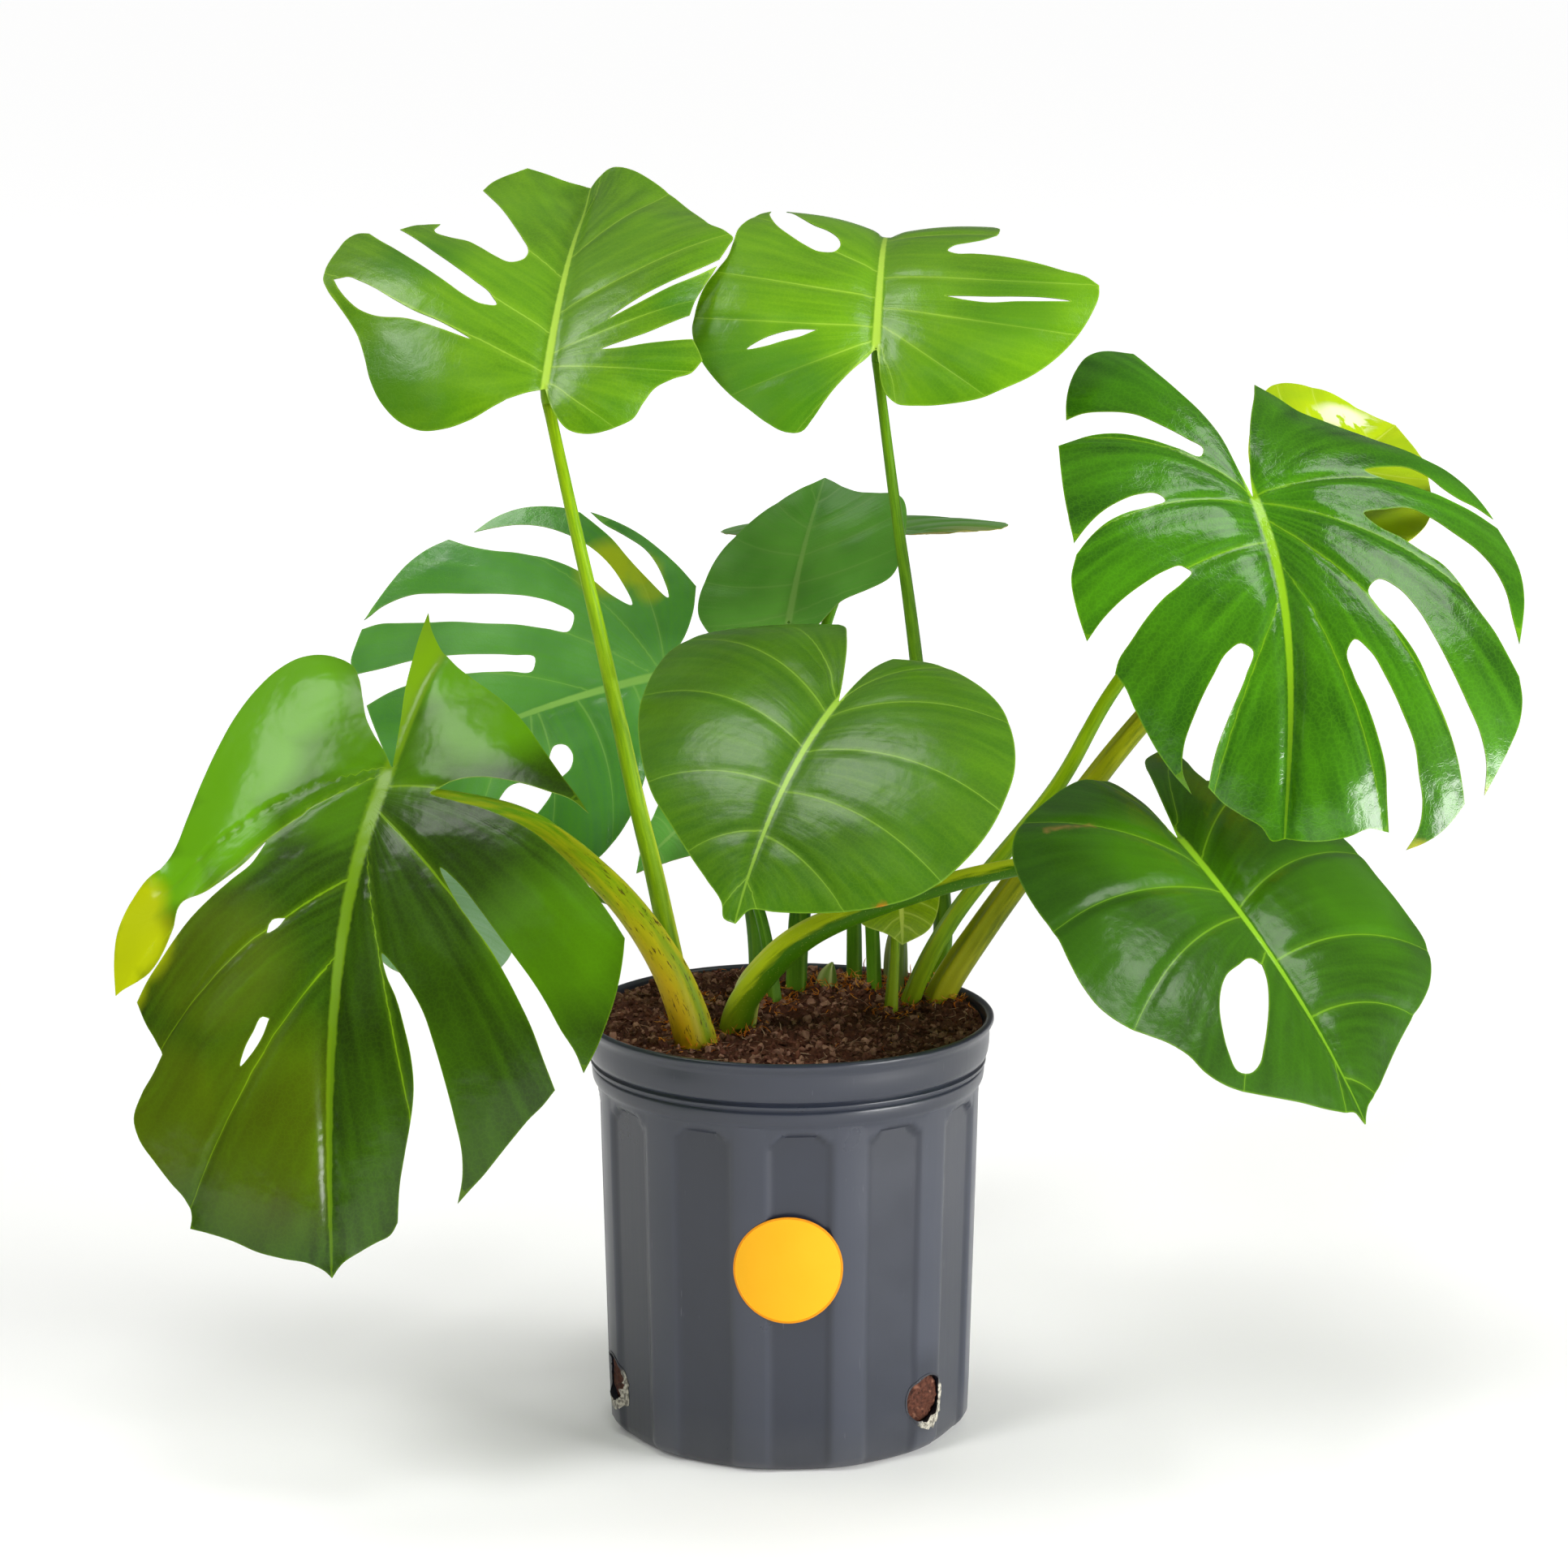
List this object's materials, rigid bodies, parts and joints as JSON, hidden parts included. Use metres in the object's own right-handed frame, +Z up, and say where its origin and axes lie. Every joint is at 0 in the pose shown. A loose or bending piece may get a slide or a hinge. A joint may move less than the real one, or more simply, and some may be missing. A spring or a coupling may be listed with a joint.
{
  "type": "potted swiss cheese plant",
  "caption": "Bushy potted swiss cheese plant with split, heart-shaped leaves on long arching stems in a dark round fluted nursery pot filled with soil.",
  "frame": {"origin": "centre of the pot's flat bottom, on the floor it stands on", "axes": "+Z up along the pot's axis; +X to the viewer's right and along the plant's widest spread; -Y is the side that the plant shows to the viewer"},
  "size_m": [0.8707, 0.5833, 0.7912],
  "materials": {
    "pot_plastic": "satin dark slate grey moulded plastic",
    "potting_soil": "dry fibrous brown potting soil",
    "label_paper": "plain yellow sticker paper",
    "leaf": "glossy waxy deep green leaf",
    "young_leaf": "glossy waxy yellow-green leaf",
    "stem": "smooth satin green stem",
    "sheath": "papery pale green sheath"
  },
  "bodies": {
    "root": {"pot": "pot_plastic", "soil": "potting_soil", "label": "label_paper", "leaf_upper_left": "leaf", "leaf_upper_middle": "leaf", "leaf_right": "leaf", "leaf_lower_right": "leaf", "leaf_front": "leaf", "leaf_back_middle": "leaf", "leaf_left_back": "leaf", "leaf_front_left": "leaf", "leaf_right_young": "young_leaf", "leaf_hidden_middle": "leaf", "leaf_hidden_left": "leaf", "leaf_back": "leaf", "leaf_small": "young_leaf", "stem_upper_left": "stem", "stem_upper_middle": "stem", "stem_right": "stem", "stem_lower_right": "stem", "stem_front": "stem", "stem_back_middle": "stem", "stem_left_back": "stem", "stem_front_left": "stem", "stem_right_young": "stem", "stem_hidden_middle": "stem", "stem_hidden_left": "stem", "stem_back": "stem", "stem_small": "stem", "sheath_left": "sheath", "sheath_middle": "sheath", "sheath_right": "sheath"}
  },
  "joints": []
}
